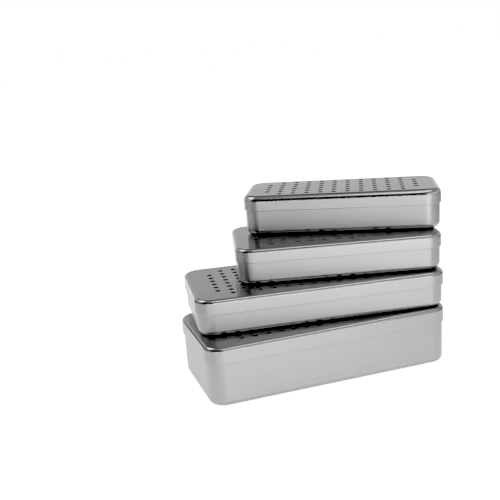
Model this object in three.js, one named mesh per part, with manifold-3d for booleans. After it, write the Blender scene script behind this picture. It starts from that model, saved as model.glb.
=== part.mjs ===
// Graded set of four perforated instrument trays in stainless steel, stacked and turned on one another.
// Each tray is a deep-drawn base under a slip-over lid with a grid of drain holes.
// Millimetres, +Z up. The origin is the centre of the bottom tray's underside, and +X runs along that tray.
import * as THREE from "three";
import { mergeGeometries, mergeVertices } from "three/addons/utils/BufferGeometryUtils.js";
import Module from "manifold-3d";

// Driving dimensions shared by every tray.
const SHEET = 0.8; // steel thickness
const CLEARANCE = 0.3; // gap between pieces that touch or slide
const CORNER_RADIUS = 15; // lid's upright corners, seen from above
const BASE_EDGE_RADIUS = 4.5; // round between a base's floor and its walls
const DRAFT = 0.0095; // how far a base's wall leans in for each millimetre below its rim
const HOLE_RADIUS = 2;

// How finely curves are cut.
const CORNER_STEPS = 4;
const EDGE_STEPS = 3;
const HOLE_SIDES = 6;

// The trays, from the bottom of the stack up. Height runs from the base's underside to the lid's top,
// skirt is how far the lid reaches down, and lidEdge is the radius between the lid's top and its skirt.
// Columns of holes run along the length, and the first and last columns have no hole at their two ends.
const TRAYS = [
  {
    name: "deep_tray",
    size: { length: 212, width: 97, height: 49.5, skirt: 13.5, lidEdge: 3 },
    holes: { columns: 16, rows: 8, columnPitch: 11.3, rowPitch: 9.4 },
    place: { x: 0, y: 0, turn: 0 },
  },
  {
    name: "large_tray",
    size: { length: 212, width: 97, height: 30.7, skirt: 12.5, lidEdge: 3 },
    holes: { columns: 16, rows: 8, columnPitch: 11.3, rowPitch: 9.4 },
    place: { x: 5.8, y: 12.8, turn: -7.2 },
  },
  {
    name: "medium_tray",
    size: { length: 174, width: 90, height: 30.7, skirt: 11.5, lidEdge: 3 },
    holes: { columns: 13, rows: 7, columnPitch: 11.3, rowPitch: 9.9 },
    place: { x: 31.6, y: 20.7, turn: -14.6 },
  },
  {
    name: "small_tray",
    size: { length: 170, width: 73, height: 34.4, skirt: 13, lidEdge: 5 },
    holes: { columns: 12, rows: 6, columnPitch: 11.75, rowPitch: 10.2 },
    place: { x: 49.8, y: 38.7, turn: -25.7 },
  },
];

const wasm = await Module();
wasm.setup();

// Corner points of a rectangle with round corners, counter-clockwise from above, set in from the lid's outline.
function outline(size, inset) {
  const radius = CORNER_RADIUS - inset;
  const x = size.length / 2 - CORNER_RADIUS;
  const y = size.width / 2 - CORNER_RADIUS;
  const shape = new THREE.Shape();
  shape.absarc(x, -y, radius, -Math.PI / 2, 0);
  shape.absarc(x, y, radius, 0, Math.PI / 2);
  shape.absarc(-x, y, radius, Math.PI / 2, Math.PI);
  shape.absarc(-x, -y, radius, Math.PI, 1.5 * Math.PI);
  return shape.getPoints(CORNER_STEPS / 2);
}

// Rings of a quarter-round, from the flat panel (first) to the wall (last).
// Its outer corner is at inset and z, and up is 1 where the wall rises from the panel, or -1 where it hangs.
function quarterRound(inset, z, radius, up) {
  const rings = [];
  for (let step = 0; step <= EDGE_STEPS; step += 1) {
    const angle = (step / EDGE_STEPS) * (Math.PI / 2);
    const across = radius * (1 - Math.sin(angle));
    const along = radius * (1 - Math.cos(angle));
    rings.push({ inset: inset + across, z: z + up * along });
  }
  return rings;
}

// Closed solid through a row of rings. The first ring is capped facing down and the last one facing up.
function loft(size, rings) {
  const loops = rings.map(({ inset, z }) => outline(size, inset).map(({ x, y }) => [x, y, z]));
  const count = loops[0].length;
  const top = (loops.length - 1) * count;
  const index = [];
  for (let ring = 0; ring < top; ring += count) {
    for (let i = 0; i < count; i += 1) {
      const next = (i + 1) % count;
      const quad = [ring + i, ring + next, ring + count + next, ring + count + i];
      index.push(quad[0], quad[1], quad[2], quad[0], quad[2], quad[3]);
    }
  }
  for (let i = 1; i < count - 1; i += 1) {
    index.push(0, i + 1, i);
    index.push(top, top + i, top + i + 1);
  }
  const geometry = new THREE.BufferGeometry();
  geometry.setAttribute("position", new THREE.Float32BufferAttribute(loops.flat(2), 3));
  geometry.setIndex(index);
  return geometry;
}

// Drawn base: floor, round edge, walls that lean out a little towards the rim, and the same inside.
// The rim ends where the lid's inside round begins, and the lid's round rests on it.
function baseGeometry(size) {
  const rimZ = size.height - size.lidEdge;
  const rimInset = SHEET + CLEARANCE;
  const footInset = rimInset + DRAFT * (rimZ - BASE_EDGE_RADIUS);
  const outside = quarterRound(footInset, 0, BASE_EDGE_RADIUS, 1);
  const inside = quarterRound(footInset + SHEET, SHEET, BASE_EDGE_RADIUS - SHEET, 1).reverse();
  const rim = [
    { inset: rimInset, z: rimZ },
    { inset: rimInset + SHEET, z: rimZ },
  ];
  return loft(size, [...outside, ...rim, ...inside]);
}

// Drain-hole cutters, one upright prism for each hole.
function holeCutters(size, holes) {
  const cutters = [];
  for (let column = 0; column < holes.columns; column += 1) {
    const isEnd = column === 0 || column === holes.columns - 1;
    for (let row = isEnd ? 1 : 0; row < holes.rows - (isEnd ? 1 : 0); row += 1) {
      const cutter = new THREE.CylinderGeometry(HOLE_RADIUS, HOLE_RADIUS, 4 * SHEET, HOLE_SIDES);
      cutter.rotateX(Math.PI / 2);
      const x = (column - (holes.columns - 1) / 2) * holes.columnPitch;
      const y = (row - (holes.rows - 1) / 2) * holes.rowPitch;
      cutter.translate(x, y, size.height);
      cutters.push(cutter);
    }
  }
  return mergeGeometries(cutters);
}

// Slip-over lid: flat top with its holes, a round edge and a plain skirt.
function lidGeometry(size, holes) {
  const skirtZ = size.height - size.skirt;
  const inside = quarterRound(SHEET, size.height - SHEET, size.lidEdge - SHEET, -1);
  const outside = quarterRound(0, size.height, size.lidEdge, -1).reverse();
  const edge = [
    { inset: SHEET, z: skirtZ },
    { inset: 0, z: skirtZ },
  ];
  const blank = toSolid(loft(size, [...inside, ...edge, ...outside]));
  return toGeometry(blank.subtract(toSolid(holeCutters(size, holes))));
}

function toSolid(geometry) {
  geometry.deleteAttribute("normal");
  geometry.deleteAttribute("uv");
  const merged = mergeVertices(geometry, 1e-4);
  const vertProperties = merged.getAttribute("position").array;
  const triVerts = new Uint32Array(merged.getIndex().array);
  return new wasm.Manifold(new wasm.Mesh({ numProp: 3, vertProperties, triVerts }));
}

function toGeometry(solid) {
  const mesh = solid.getMesh();
  const geometry = new THREE.BufferGeometry();
  geometry.setAttribute("position", new THREE.BufferAttribute(mesh.vertProperties, 3));
  geometry.setIndex(new THREE.BufferAttribute(mesh.triVerts, 1));
  return geometry;
}

function namedMesh(name, geometry, color, roughness) {
  const material = new THREE.MeshStandardMaterial({ color, roughness, metalness: 1 });
  geometry.computeVertexNormals();
  const mesh = new THREE.Mesh(geometry, material);
  mesh.name = name;
  return mesh;
}

// A base and its lid, standing with the underside at height z.
function makeTray({ name, size, holes, place }, z) {
  const tray = new THREE.Group();
  tray.add(namedMesh(name + "_base", baseGeometry(size), 0xb4b4b6, 0.3));
  tray.add(namedMesh(name + "_lid", lidGeometry(size, holes), 0xacacae, 0.34));
  tray.position.set(place.x, place.y, z);
  tray.rotation.z = THREE.MathUtils.degToRad(place.turn);
  return tray;
}

const stack = new THREE.Group();
let standing = 0;
for (const tray of TRAYS) {
  stack.add(makeTray(tray, standing));
  standing += tray.size.height + CLEARANCE;
}

export default stack;
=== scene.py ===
import math

import bpy
from mathutils import Matrix, Vector, noise
from mathutils.geometry import delaunay_2d_cdt


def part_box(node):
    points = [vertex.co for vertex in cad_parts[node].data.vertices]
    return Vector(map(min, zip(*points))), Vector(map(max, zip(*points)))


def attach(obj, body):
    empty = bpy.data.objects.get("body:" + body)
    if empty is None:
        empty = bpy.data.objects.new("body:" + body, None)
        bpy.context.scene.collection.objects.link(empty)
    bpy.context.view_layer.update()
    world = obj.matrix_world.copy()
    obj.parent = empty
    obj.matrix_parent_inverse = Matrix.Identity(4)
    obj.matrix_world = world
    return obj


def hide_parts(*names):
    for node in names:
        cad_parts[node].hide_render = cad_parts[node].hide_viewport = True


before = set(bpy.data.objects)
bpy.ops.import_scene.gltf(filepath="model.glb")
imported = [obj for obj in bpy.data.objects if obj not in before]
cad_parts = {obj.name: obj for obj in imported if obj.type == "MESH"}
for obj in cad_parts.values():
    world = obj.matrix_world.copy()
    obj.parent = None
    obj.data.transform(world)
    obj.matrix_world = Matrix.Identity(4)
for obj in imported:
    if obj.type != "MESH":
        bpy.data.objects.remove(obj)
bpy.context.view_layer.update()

MM = 0.001

# The trays from the bottom up: length, width and the lid's edge radius in millimetres, turn in degrees, and
# the grid of drain holes.
TRAYS = {
    "deep": dict(length=212, width=97, edge=3, turn=0, columns=16, rows=8, pitch=(11.3, 9.4)),
    "large": dict(length=212, width=97, edge=3, turn=-7.2, columns=16, rows=8, pitch=(11.3, 9.4)),
    "medium": dict(length=174, width=90, edge=3, turn=-14.6, columns=13, rows=7, pitch=(11.3, 9.9)),
    "small": dict(length=170, width=73, edge=5, turn=-25.7, columns=12, rows=6, pitch=(11.75, 10.2)),
}

# Sizes that all the trays share.
SHEET = 0.8 * MM
CORNER_RADIUS = 15 * MM  # upright corners of the lid's outline
BASE_EDGE_RADIUS = 4.5 * MM  # between a base's floor and its walls
BASE_INSET = 1.1 * MM  # how far a base's rim lies inside the lid's outline
DRAFT = 0.0095  # how far a base's wall leans in for each unit of height below its rim
HOLE_RADIUS = 2 * MM
HOLE_ROLL = 0.3 * MM  # how far the sheet rolls over into a punched hole

# A punched hole from the top down: share of the roll, depth as a share of the sheet, and wear, which below 0
# is painted shade that darkens the hole's wall.
PUNCH_PROFILE = [(1.0, 0.0, 0.0), (0.55, 0.05, -0.3), (0.2, 0.16, -0.8), (0.0, 0.36, -1.0), (0.0, 1.0, -1.0)]

# A sheet's cut rim: the size of its round, where the round's middle point lies, and how worn its start is.
RIM_ROUND = 0.25 * MM
RIM_MIDDLE = 0.3
RIM_START_WEAR = 0.6

# How finely the shells are cut.
CORNER_STEPS = 20
EDGE_STEPS = 10
SIDE_STEP = 5 * MM
HOLE_STEPS = 24
SUPPORT = 0.25 * MM  # the strip beside a round edge that keeps the flat sheet flat
PANEL_SHARES = (0.97, 0.75, 0.5, 0.25)  # sizes of the rings in a flat floor, as shares of its outline
SHARP_ANGLE = math.radians(50)
MERGE_DISTANCE = 1e-7

# Hand-made unevenness of the drawn sheet.
WAVE = 0.07 * MM
WAVE_LENGTH = 55 * MM
WAVE_DRIFT = (7.3, 3.1, 1.7)  # how far apart the trays' wave patterns lie
WAVE_SEED = 5  # without it, noise_vector takes its seed from the clock and each run differs

# Steel: its colour, and the roughness of brushed walls and of smoother floors, tops and round edges.
STEEL_COLOR = (0.5, 0.5, 0.5)
BRUSHED = 0.42
POLISHED = {"base": 0.26, "lid": 0.15}
STEEL_SEED = {"base": 0, "lid": 10}  # keeps the grain of a base and of its lid apart
ANISOTROPY = 0.8
GRAIN_TURN = 0.25  # a quarter turn, so that highlights stretch across the grain
# Streaks of the grain: length along it, width across it, and detail.
FINE_STREAKS = (30 * MM, 0.25 * MM, 3.0)
BROAD_STREAKS = (160 * MM, 3.5 * MM, 2.0)
STREAK_ROUGHNESS = 0.6
STREAK_DRIFT = (3.7, 11.3)
CLOUD = {"Scale": 28.0, "Detail": 3.0, "Roughness": 0.55}
# The stretch of each pattern that counts. Slope is 0 on an upright wall and 1 on a flat top.
STRETCH = {
    "fine": (0.3, 0.7),
    "broad": (0.3, 0.7),
    "cloud": (0.3, 0.7),
    "wear_and_shade": (0.0, 1.0),
    # Painted shade on the hole walls: the wear value below 0.
    "painted_hole_shade": (-1.0, 0.0),
    "slope": (0.001, 0.02),
}
# What each pattern multiplies the colour by, and what it adds to the roughness and the bump's height.
TONE = {
    "fine": (0.96, 1.03),
    "broad": (0.975, 1.02),
    "cloud": (0.97, 1.03),
    "wear_and_shade": (1.0, 1.06),
    # Painted shade: the hole walls' colour drops to 0.15 of the steel's.
    "painted_hole_shade": (0.15, 1.0),
    # Painted shade: floors, tops and round edges get 0.75 of the upright walls' colour.
    "slope": (1.0, 0.75),
}
ROUGHNESS = {"fine": (-0.03, 0.03), "broad": (-0.015, 0.02), "cloud": (-0.02, 0.02)}
BUMP_HEIGHT = {"fine": (0.0, 0.6), "broad": (0.0, 0.6)}
BUMP = {"Strength": 0.25, "Distance": 0.02 * MM}

# The camera, at the photograph's viewing angle.
HEADING = math.radians(-17.44)
TILT_DOWN = math.radians(14.82)
ROLL = math.radians(-4.02)
CAMERA_PLACE = (-0.2365, -0.5898, 0.2742)
LENS = 56.25
SENSOR = 36

# The studio, laid out along the camera's heading.
ALONG = Vector((-math.sin(HEADING), math.cos(HEADING), 0))
ACROSS = Vector((math.cos(HEADING), math.sin(HEADING), 0))
MATT = {"Roughness": 1.0, "Specular IOR Level": 0.0}
WHITE = (1, 1, 1, 1)
FLOOR_COLOR = (0.8, 0.8, 0.8, 1)
FLOOR_REACH = 8.0
FLOOR_GLOW = 0.76  # light that the whole floor gives off, which takes it to white
FRONT_GLOW = 3.8  # glow that the floor in front of the set gains towards the camera: painted light, where no lamp stands
FRONT = (0.2, 1.6)  # where that gain starts and where it is complete
# The room's light by the height of the direction looked in, from 0 at the horizon to 1 overhead.
ROOM_LEFT = [(0.0, 0.02), (0.75, 0.03), (0.88, 0.35), (1.0, 0.5)]
ROOM_RIGHT = [(0.0, 0.6), (0.15, 0.9), (0.24, 1.5), (0.32, 1.5), (0.5, 0.6), (1.0, 0.5)]
ROOM_BACK = [(0.0, 0.85), (0.38, 0.7), (0.5, 0.5), (1.0, 0.5)]
DARK_PATCH = 0.17  # light of the dark curtain high behind the set, which lines the lids' round edges
# Where the room's parts lie: turn to the left of the camera and height angle of the middle, in degrees, and
# the cosines of the angle from the middle at which the part starts and is complete.
LEFT_PART = (25, 0, 0.6, 0.766)
RIGHT_PART = (-50, 0, 0.6, 0.8)
PATCH_PART = (180, 47, 0.9, 0.94)
# Flags: how far to the side they stand, where they start and end along the heading, and their height.
FLAG_COLOR = (0.01, 0.01, 0.01, 1)
FLAGS = [("left_flag", -0.4, -0.5, 0.35, 0.13), ("right_flag", 0.5, -0.5, 0.35, 0.13)]
# Lamps: turn to the left of the camera, height angle, distance, width, depth and power.
LAMPS = [
    ("key_lamp", -46, 72, 1.3, 1.3, 0.5, 3),
    ("rim_lamp", 108, 48, 1.3, 0.8, 0.6, 2.5),
]
LAMP_TARGET = Vector((0.03, 0.0, 0.1))

BLACK_LEVEL = 0.022  # what the picture shows as black, which deepens its shadows


class Shell:
    """A thin-walled shell being built: points with their wear and painted hole shade, and faces with their
    grain coordinates.
    """

    def __init__(self):
        self.points = []
        self.wear_and_hole_shade = []
        self.faces = []
        self.grain = []

    def point(self, place, wear_and_hole_shade):
        self.points.append(Vector(place))
        self.wear_and_hole_shade.append(wear_and_hole_shade)
        return len(self.points) - 1

    def face(self, corners, grain):
        self.faces.append(corners)
        self.grain.append(grain)

    def flat_face(self, corners):
        """A face with the grain of a level sheet, which runs along the tray."""
        self.face(corners, tuple((self.points[c].x, self.points[c].y) for c in corners))

    def bridge(self, outer, inner, facing_up=True):
        """Level quads between two rings of points."""
        for i in range(len(outer)):
            j = (i + 1) % len(outer)
            corners = (outer[i], outer[j], inner[j], inner[i])
            self.flat_face(corners if facing_up else corners[::-1])


def stations(length, width):
    """Places round the outline: the centre that each swings about, its direction and how far round it is."""
    x = length / 2 - CORNER_RADIUS
    y = width / 2 - CORNER_RADIUS
    corners = [(x, -y), (x, y), (-x, y), (-x, -y)]
    found = []
    travelled = 0.0
    for turn, (cx, cy) in enumerate(corners):
        last_x, last_y = corners[turn - 1]
        side = math.hypot(cx - last_x, cy - last_y)
        facing = math.radians(90 * (turn - 1))
        pieces = max(2, round(side / SIDE_STEP))
        for step in range(pieces):
            t = step / pieces
            middle = (last_x + (cx - last_x) * t, last_y + (cy - last_y) * t)
            found.append((middle, facing, travelled + side * t))
        travelled += side
        for step in range(CORNER_STEPS):
            t = step / CORNER_STEPS
            found.append(((cx, cy), facing + t * math.pi / 2, travelled + t * CORNER_RADIUS * math.pi / 2))
        travelled += CORNER_RADIUS * math.pi / 2
    return found, travelled


def quarter(inset, z, radius, up):
    """Profile of a quarter-round from the flat panel to the wall, as rows of inset, height and wear."""
    rows = []
    for step in range(EDGE_STEPS + 1):
        angle = math.pi / 2 * step / EDGE_STEPS
        wear_and_shade = math.sin(2 * angle)
        rows.append((inset + radius * (1 - math.sin(angle)), z + up * radius * (1 - math.cos(angle)), wear_and_shade))
    return rows


def wall(start, end):
    """Profile of a straight wall between two rows, without its ends, with a support row near each end."""
    length = math.hypot(end[0] - start[0], end[1] - start[1])
    pieces = max(2, round(length / SIDE_STEP))
    shares = [SUPPORT / length, *(step / pieces for step in range(1, pieces)), 1 - SUPPORT / length]
    return [(start[0] + (end[0] - start[0]) * t, start[1] + (end[1] - start[1]) * t, 0.0) for t in shares]


def cut_rim(inset, z, up):
    """Profile of a wall's rounded rim, from its outer face to its inner one. It reaches up, or down, to z."""
    far = inset + SHEET
    middle = RIM_MIDDLE * RIM_ROUND
    return [
        (inset, z - up * RIM_ROUND, RIM_START_WEAR),
        (inset + middle, z - up * middle, 1.0),
        (inset + RIM_ROUND, z, 1.0),
        (far - RIM_ROUND, z, 1.0),
        (far - middle, z - up * middle, 1.0),
        (far, z - up * RIM_ROUND, RIM_START_WEAR),
    ]


def ring_round(shell, places, inset, z, wear_and_shade):
    """A ring of points round the outline, set in from it."""
    reach = CORNER_RADIUS - inset
    ring = []
    for (cx, cy), facing, _ in places:
        ring.append(shell.point((cx + reach * math.cos(facing), cy + reach * math.sin(facing), z), wear_and_shade))
    return ring


def loft(shell, round_trip, profile):
    """Quads through a ring of points for each profile row. Returns the first ring and the last one."""
    places, around = round_trip
    rings = [ring_round(shell, places, *row) for row in profile]
    low = 0.0
    for row in range(len(rings) - 1):
        below, above = rings[row], rings[row + 1]
        high = low + math.hypot(profile[row + 1][0] - profile[row][0], profile[row + 1][1] - profile[row][1])
        for i in range(len(places)):
            j = (i + 1) % len(places)
            u = places[i][2]
            v = places[j][2] if j else around
            shell.face((below[i], below[j], above[j], above[i]), ((u, low), (v, low), (v, high), (u, high)))
        low = high
    return rings[0], rings[-1]


def panel(shell, ring, facing_up):
    """Closes a ring with a flat panel of rings that shrink towards the middle."""
    middle_x = sum(shell.points[i].x for i in ring) / len(ring)
    middle_y = sum(shell.points[i].y for i in ring) / len(ring)
    outer = ring
    for share in PANEL_SHARES:
        inner = []
        for i in ring:
            p = shell.points[i]
            place = (middle_x + (p.x - middle_x) * share, middle_y + (p.y - middle_y) * share, p.z)
            inner.append(shell.point(place, 0.0))
        shell.bridge(outer, inner, facing_up)
        outer = inner
    shell.flat_face(tuple(outer if facing_up else outer[::-1]))


def make_base(size):
    """Drawn base: flat floor, round edge and slightly leaning walls, open at the top."""
    shell = Shell()
    rim_z = size["height"] - size["edge"]
    foot = BASE_INSET + DRAFT * (rim_z - BASE_EDGE_RADIUS)
    outside = quarter(foot, 0, BASE_EDGE_RADIUS, 1)
    inside = quarter(foot + SHEET, SHEET, BASE_EDGE_RADIUS - SHEET, 1)[::-1]
    rim = cut_rim(BASE_INSET, rim_z, 1)
    profile = [
        (foot + BASE_EDGE_RADIUS + SUPPORT, 0, 0.0),
        *outside,
        *wall(outside[-1], rim[0]),
        *rim,
        *wall(rim[-1], inside[0]),
        *inside,
        (foot + BASE_EDGE_RADIUS + SUPPORT, SHEET, 0.0),
    ]
    first, last = loft(shell, stations(size["length"], size["width"]), profile)
    panel(shell, first, facing_up=False)
    panel(shell, last, facing_up=True)
    return shell


def hole_places(size):
    """Centres of the drain holes. The first and last columns have no hole at their two ends."""
    columns, rows = size["columns"], size["rows"]
    for column in range(columns):
        spare = 1 if column in (0, columns - 1) else 0
        for row in range(spare, rows - spare):
            x = (column - (columns - 1) / 2) * size["pitch"][0]
            y = (row - (rows - 1) / 2) * size["pitch"][1]
            yield x, y


def between_holes(size):
    """Points among the holes and round them that keep the lid's triangles even."""
    columns, rows = size["columns"], size["rows"]
    for column in range(columns + 1):
        for row in range(rows + 1):
            x = (column - columns / 2) * size["pitch"][0]
            y = (row - rows / 2) * size["pitch"][1]
            yield x, y


def circle(centre, radius):
    turns = [2 * math.pi * step / HOLE_STEPS for step in range(HOLE_STEPS)]
    return [(centre.x + radius * math.cos(t), centre.y + radius * math.sin(t)) for t in turns]


def triangulate(outline, centres, reach, spread):
    """Triangles between an outline and a circle round each hole. The points keep their order."""
    flat = list(outline)
    edges = [(i, (i + 1) % len(flat)) for i in range(len(flat))]
    for centre in centres:
        start = len(flat)
        flat += [Vector(p) for p in circle(centre, reach)]
        edges += [(start + i, start + (i + 1) % HOLE_STEPS) for i in range(HOLE_STEPS)]
    flat += [Vector(p) for p in spread]
    filled = delaunay_2d_cdt(flat, edges, [], 0, MERGE_DISTANCE)
    places, triangles = filled[0], filled[2]
    kept = []
    for corners in triangles:
        middle = (places[corners[0]] + places[corners[1]] + places[corners[2]]) / 3
        if all((middle - centre).length >= reach for centre in centres):
            kept.append(corners)
    return places, kept


def perforated(shell, size, top_ring, ceiling_ring):
    """Fills a lid's top and ceiling between their outlines and the punched holes."""
    top_z = size["height"]
    reach = HOLE_RADIUS + HOLE_ROLL + SUPPORT
    centres = [Vector(place) for place in hole_places(size)]
    outline = [shell.points[i].xy for i in top_ring]
    places, triangles = triangulate(outline, centres, reach, between_holes(size))
    added = places[len(outline):]
    upper = list(top_ring) + [shell.point((p.x, p.y, top_z), 0.0) for p in added]
    lower = list(ceiling_ring) + [shell.point((p.x, p.y, top_z - SHEET), 0.0) for p in added]
    for a, b, c in triangles:
        shell.flat_face((upper[a], upper[b], upper[c]))
        shell.flat_face((lower[c], lower[b], lower[a]))
    for number, centre in enumerate(centres):
        first = len(outline) + number * HOLE_STEPS
        punch(shell, centre, top_z, upper[first:first + HOLE_STEPS], lower[first:first + HOLE_STEPS])


def punch(shell, centre, top_z, top_loop, ceiling_loop):
    """One punched hole: the sheet rolls over into it, and its wall runs down to a crisp edge below."""
    rings = [top_loop]
    # The last column, below 0, is painted shade, which darkens the hole's wall.
    for share, drop, wear_and_shade in PUNCH_PROFILE:
        level = top_z - drop * SHEET
        around = circle(centre, HOLE_RADIUS + share * HOLE_ROLL)
        rings.append([shell.point((x, y, level), wear_and_shade) for x, y in around])
    rings.append(ceiling_loop)
    for high, low in zip(rings, rings[1:]):
        shell.bridge(high, low)


def make_lid(size):
    """Slip-over lid: perforated top, round edge and a plain skirt with a rounded lower rim."""
    shell = Shell()
    top_z = size["height"]
    inside = quarter(SHEET, top_z - SHEET, size["edge"] - SHEET, -1)
    outside = quarter(0, top_z, size["edge"], -1)[::-1]
    rim = cut_rim(0.0, top_z - size["skirt"], -1)[::-1]
    profile = [
        (size["edge"] + SUPPORT, top_z - SHEET, 0.0),
        *inside,
        *wall(inside[-1], rim[0]),
        *rim,
        *wall(rim[-1], outside[0]),
        *outside,
        (size["edge"] + SUPPORT, top_z, 0.0),
    ]
    first, last = loft(shell, stations(size["length"], size["width"]), profile)
    perforated(shell, size, last, first)
    return shell


def wave(shell, seed):
    """Makes a shell slightly uneven, pulled in to stay inside its outline. Returns each point's bend."""
    drift = Vector([seed * part for part in WAVE_DRIFT])
    reach_x = max(p.x for p in shell.points)
    reach_y = max(p.y for p in shell.points)
    bends = [noise.noise_vector(p / WAVE_LENGTH + drift) for p in shell.points]
    for p, bend in zip(shell.points, bends):
        p.x += WAVE * (bend.x - p.x / reach_x)
        p.y += WAVE * (bend.y - p.y / reach_y)
    return bends


def sink_top(shell, bends, size):
    """Makes a lid's top slightly uneven, always downwards, fading out over its round edge."""
    start = size["height"] - size["edge"]
    for p, bend in zip(shell.points, bends):
        if p.z > start:
            p.z -= WAVE * (1 + bend.z) * min(1.0, (p.z - start) / size["edge"])


def build_mesh(shell, name):
    """Turns a shell into a mesh, smooth but at its cut edges, with its grain, and with its wear and painted
    hole shade.
    """
    mesh = bpy.data.meshes.new(name)
    mesh.from_pydata(shell.points, [], shell.faces)
    grain = mesh.uv_layers.new(name="grain")
    flat = [value for corners in shell.grain for uv in corners for value in uv]
    grain.data.foreach_set("uv", flat)
    wear_and_hole_shade = mesh.attributes.new("wear_and_hole_shade", "FLOAT", "POINT")
    wear_and_hole_shade.data.foreach_set("value", shell.wear_and_hole_shade)
    mesh.shade_smooth()
    mesh.set_sharp_from_angle(angle=SHARP_ANGLE)
    return mesh


def place_piece(shell, tray, part, seed):
    """Stands a shell where its CAD node is, and gives it its steel and body."""
    name = f"{tray}_{part}_shell"
    node = f"{tray}_tray_{part}"
    mesh = build_mesh(shell, name)
    low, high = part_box(node)
    base_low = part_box(f"{tray}_tray_base")[0]
    middle = (low + high) / 2
    turn = Matrix.Rotation(math.radians(TRAYS[tray]["turn"]), 4, "Z")
    mesh.transform(Matrix.Translation((middle.x, middle.y, base_low.z)) @ turn)
    mesh.materials.append(steel(f"{tray}_{part}_steel", POLISHED[part], seed + STEEL_SEED[part]))
    piece = bpy.data.objects.new(name, mesh)
    bpy.context.scene.collection.objects.link(piece)
    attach(piece, f"{tray}_{part}")
    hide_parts(node)


class Graph:
    """A node tree being wired up."""

    def __init__(self, tree):
        self.nodes = tree.nodes
        self.links = tree.links

    def add(self, kind, inputs=None, **settings):
        made = self.nodes.new(kind)
        for key, value in settings.items():
            setattr(made, key, value)
        for key, value in (inputs or {}).items():
            made.inputs[key].default_value = value
        return made

    def chain(self, operation, values):
        """Sums or multiplies the values, from the first to the last."""
        total = values[0]
        for value in values[1:]:
            step = self.add("ShaderNodeMath", operation=operation)
            self.links.new(total, step.inputs[0])
            self.links.new(value, step.inputs[1])
            total = step.outputs["Value"]
        return total

    def remap(self, source, stretch, target, interpolation="LINEAR"):
        """Maps a stretch of values to a target range, and stops at its ends."""
        inputs = {"From Min": stretch[0], "From Max": stretch[1], "To Min": target[0], "To Max": target[1]}
        mapped = self.add("ShaderNodeMapRange", inputs, interpolation_type=interpolation)
        self.links.new(source, mapped.inputs["Value"])
        return mapped.outputs["Result"]

    def dot(self, source, direction):
        product = self.add("ShaderNodeVectorMath", operation="DOT_PRODUCT")
        product.inputs[1].default_value = direction
        self.links.new(source, product.inputs[0])
        return product.outputs["Value"]


def streaks(graph, seed, along, across, detail):
    """Noise drawn out along the grain."""
    uv = graph.add("ShaderNodeUVMap", uv_map="grain")
    drift = (seed * STREAK_DRIFT[0], seed * STREAK_DRIFT[1], 0)
    scaled = graph.add("ShaderNodeMapping", {"Scale": (1 / along, 1 / across, 1), "Location": drift})
    graph.links.new(uv.outputs["UV"], scaled.inputs["Vector"])
    look = {"Scale": 1.0, "Detail": detail, "Roughness": STREAK_ROUGHNESS}
    grain = graph.add("ShaderNodeTexNoise", look, noise_dimensions="2D")
    graph.links.new(scaled.outputs["Vector"], grain.inputs["Vector"])
    return grain.outputs["Fac"]


def steel_patterns(graph, seed):
    """What the steel varies with, by name, as in STRETCH."""
    coordinates = graph.add("ShaderNodeTexCoord")
    cloud = graph.add("ShaderNodeTexNoise", CLOUD)
    graph.links.new(coordinates.outputs["Object"], cloud.inputs["Vector"])
    wear_and_hole_shade = graph.add("ShaderNodeAttribute", attribute_name="wear_and_hole_shade").outputs["Fac"]
    facing = graph.add("ShaderNodeSeparateXYZ")
    graph.links.new(coordinates.outputs["Normal"], facing.inputs["Vector"])
    return {
        "fine": streaks(graph, seed, *FINE_STREAKS),
        "broad": streaks(graph, seed, *BROAD_STREAKS),
        "cloud": cloud.outputs["Fac"],
        "wear_and_shade": wear_and_hole_shade,
        "painted_hole_shade": wear_and_hole_shade,
        "slope": graph.chain("MULTIPLY", [facing.outputs["Z"], facing.outputs["Z"]]),
    }


def steel(name, polished, seed):
    """Satin steel: brushed walls, a smoother floor or top, bright worn edges, and painted shade on the hole
    walls, the floor, the top and the round edges.
    """
    material = bpy.data.materials.new(name)
    material.use_nodes = True
    graph = Graph(material.node_tree)
    graph.nodes.clear()
    output = graph.add("ShaderNodeOutputMaterial")
    look = {"Metallic": 1.0, "Anisotropic": ANISOTROPY, "Anisotropic Rotation": GRAIN_TURN}
    shader = graph.add("ShaderNodeBsdfPrincipled", look)
    graph.links.new(shader.outputs["BSDF"], output.inputs["Surface"])
    patterns = steel_patterns(graph, seed)

    def effects(table):
        return [graph.remap(patterns[key], STRETCH[key], target) for key, target in table.items()]

    # The colour carries painted shade: floors, tops and round edges are darker than upright walls, and hole
    # walls are dark.
    tint = graph.add("ShaderNodeVectorMath", operation="SCALE")
    tint.inputs[0].default_value = STEEL_COLOR
    graph.links.new(graph.chain("MULTIPLY", effects(TONE)), tint.inputs["Scale"])
    graph.links.new(tint.outputs["Vector"], shader.inputs["Base Color"])

    roughness = effects({**ROUGHNESS, "slope": (BRUSHED, polished)})
    graph.links.new(graph.chain("ADD", roughness), shader.inputs["Roughness"])

    bump = graph.add("ShaderNodeBump", BUMP)
    graph.links.new(graph.chain("ADD", effects(BUMP_HEIGHT)), bump.inputs["Height"])
    graph.links.new(bump.outputs["Normal"], shader.inputs["Normal"])
    tangent = graph.add("ShaderNodeTangent", direction_type="UV_MAP", uv_map="grain")
    graph.links.new(tangent.outputs["Tangent"], shader.inputs["Tangent"])
    return material


def tray_size(tray):
    """A tray's sizes in metres, with the heights of its CAD nodes."""
    sizes = TRAYS[tray]
    base_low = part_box(f"{tray}_tray_base")[0]
    lid_low, lid_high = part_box(f"{tray}_tray_lid")
    return dict(
        sizes,
        length=sizes["length"] * MM,
        width=sizes["width"] * MM,
        height=lid_high.z - base_low.z,
        skirt=lid_high.z - lid_low.z,
        edge=sizes["edge"] * MM,
        pitch=(sizes["pitch"][0] * MM, sizes["pitch"][1] * MM),
    )


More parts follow.
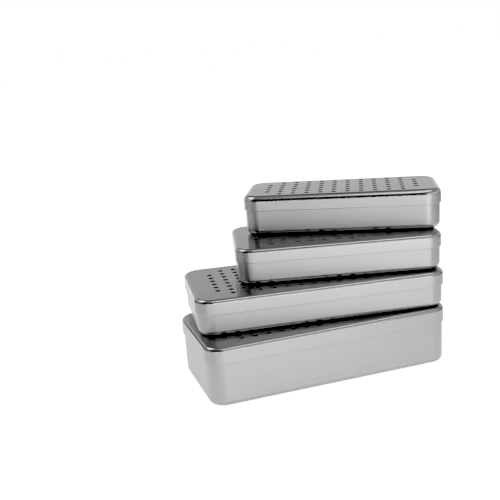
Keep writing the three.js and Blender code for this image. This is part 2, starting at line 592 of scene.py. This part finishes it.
def make_trays():
    noise.seed_set(WAVE_SEED)
    for seed, tray in enumerate(TRAYS, start=1):
        size = tray_size(tray)
        base = make_base(size)
        wave(base, seed)
        place_piece(base, tray, "base", seed)
        lid = make_lid(size)
        sink_top(lid, wave(lid, seed), size)
        place_piece(lid, tray, "lid", seed)


def make_camera():
    """The photograph's viewing angle: low, from the front left, rolled slightly."""
    data = bpy.data.cameras.new("camera")
    data.sensor_width = SENSOR
    data.lens = LENS
    data.clip_start = 0.01
    data.clip_end = 50
    camera = bpy.data.objects.new("camera", data)
    bpy.context.scene.collection.objects.link(camera)
    aim = (
        Matrix.Rotation(HEADING, 4, "Z")
        @ Matrix.Rotation(math.pi / 2 - TILT_DOWN, 4, "X")
        @ Matrix.Rotation(ROLL, 4, "Z")
    )
    camera.matrix_world = Matrix.Translation(CAMERA_PLACE) @ aim
    bpy.context.scene.camera = camera


def stage_sheet(name, corners, color):
    """A flat matt stage piece through four corners."""
    mesh = bpy.data.meshes.new(name)
    mesh.from_pydata(corners, [], [(0, 1, 2, 3)])
    material = bpy.data.materials.new(name)
    material.use_nodes = True
    shader = material.node_tree.nodes["Principled BSDF"]
    for key, value in {"Base Color": color, **MATT}.items():
        shader.inputs[key].default_value = value
    mesh.materials.append(material)
    sheet = bpy.data.objects.new(name, mesh)
    bpy.context.scene.collection.objects.link(sheet)
    return sheet


def make_floor():
    """Pale floor that glows more brightly in front of the set, towards the camera: painted light, as no lamp
    stands there.
    """
    reach = FLOOR_REACH
    corners = [(-reach, -reach, 0), (reach, -reach, 0), (reach, reach, 0), (-reach, reach, 0)]
    floor = stage_sheet("floor", corners, FLOOR_COLOR)
    graph = Graph(floor.data.materials[0].node_tree)
    shader = graph.nodes["Principled BSDF"]
    shader.inputs["Emission Color"].default_value = WHITE
    place = graph.add("ShaderNodeTexCoord").outputs["Object"]
    target = (FLOOR_GLOW, FLOOR_GLOW + FRONT_GLOW)
    glow = graph.remap(graph.dot(place, -ALONG), FRONT, target, "SMOOTHSTEP")
    graph.links.new(glow, shader.inputs["Emission Strength"])


def make_flags():
    """Low black cards beside the set that only reflections see, for the dark edges of the upright corners."""
    for name, side, near, far, height in FLAGS:
        start, end = ACROSS * side + ALONG * near, ACROSS * side + ALONG * far
        lift = Vector((0, 0, height))
        flag = stage_sheet(name, [start, end, end + lift, start + lift], FLAG_COLOR)
        flag.visible_camera = False
        flag.visible_diffuse = False
        flag.visible_shadow = False


def towards(turn, height):
    """Direction from the set, a turn to the left of the camera and at a height angle, both in degrees."""
    level = Matrix.Rotation(-math.radians(turn), 3, "Z") @ -ALONG
    lift = math.radians(height)
    return level * math.cos(lift) + Vector((0, 0, math.sin(lift)))


def climb(graph, height, stops):
    """The light of one part of the room, by height."""
    ramp = graph.add("ShaderNodeValToRGB")
    graph.links.new(height, ramp.inputs["Fac"])
    elements = ramp.color_ramp.elements
    while len(elements) > 1:
        elements.remove(elements[-1])
    for number, (position, light) in enumerate(stops):
        element = elements.new(position) if number else elements[0]
        element.position = position
        element.color = (light, light, light, 1)
    return ramp.outputs["Color"]


def mix(graph, share, first, second):
    """Blends from the first colour to the second, which is an output or a plain colour."""
    blend = graph.add("ShaderNodeMix", data_type="RGBA")
    graph.links.new(share, blend.inputs["Factor"])
    graph.links.new(first, blend.inputs["A"])
    if isinstance(second, tuple):
        blend.inputs["B"].default_value = second
    else:
        graph.links.new(second, blend.inputs["B"])
    return blend.outputs["Result"]


def part_share(graph, direction, part):
    """How far a direction lies inside a part of the room, from 0 to 1."""
    turn, height, start, complete = part
    return graph.remap(graph.dot(direction, towards(turn, height)), (start, complete), (0, 1), "SMOOTHSTEP")


def make_room():
    """The room that the steel mirrors: dark at the front left, bright at the front right, and light grey
    behind with a dark patch high up. The camera itself sees plain white."""
    world = bpy.data.worlds.new("studio")
    bpy.context.scene.world = world
    world.use_nodes = True
    graph = Graph(world.node_tree)
    direction = graph.add("ShaderNodeTexCoord").outputs["Generated"]
    split = graph.add("ShaderNodeSeparateXYZ")
    graph.links.new(direction, split.inputs["Vector"])
    height = split.outputs["Z"]
    level_part = graph.add("ShaderNodeVectorMath", operation="MULTIPLY")
    level_part.inputs[1].default_value = (1, 1, 0)
    graph.links.new(direction, level_part.inputs[0])
    heading = graph.add("ShaderNodeVectorMath", operation="NORMALIZE")
    graph.links.new(level_part.outputs["Vector"], heading.inputs[0])

    left = part_share(graph, heading.outputs["Vector"], LEFT_PART)
    right = part_share(graph, direction, RIGHT_PART)
    patch = part_share(graph, direction, PATCH_PART)
    room = mix(graph, left, climb(graph, height, ROOM_BACK), climb(graph, height, ROOM_LEFT))
    room = mix(graph, right, room, climb(graph, height, ROOM_RIGHT))
    room = mix(graph, patch, room, (DARK_PATCH, DARK_PATCH, DARK_PATCH, 1))
    seen_by_camera = graph.add("ShaderNodeLightPath").outputs["Is Camera Ray"]
    graph.links.new(mix(graph, seen_by_camera, room, WHITE), graph.nodes["Background"].inputs["Color"])


def make_lamps():
    for name, turn, height, distance, width, depth, power in LAMPS:
        data = bpy.data.lights.new(name, "AREA")
        data.shape = "RECTANGLE"
        data.size = width
        data.size_y = depth
        data.energy = power
        lamp = bpy.data.objects.new(name, data)
        bpy.context.scene.collection.objects.link(lamp)
        place = LAMP_TARGET + towards(turn, height) * distance
        lamp.location = place
        lamp.rotation_euler = (LAMP_TARGET - place).to_track_quat("-Z", "Y").to_euler()


def grade_picture():
    """Plain picture with the deepest shadows pulled down to black, as in a product photograph."""
    view = bpy.context.scene.view_settings
    view.view_transform = "Standard"
    view.use_curve_mapping = True
    view.curve_mapping.black_level = (BLACK_LEVEL, BLACK_LEVEL, BLACK_LEVEL)
    view.curve_mapping.update()


make_trays()
make_camera()
make_floor()
make_flags()
make_room()
make_lamps()
grade_picture()
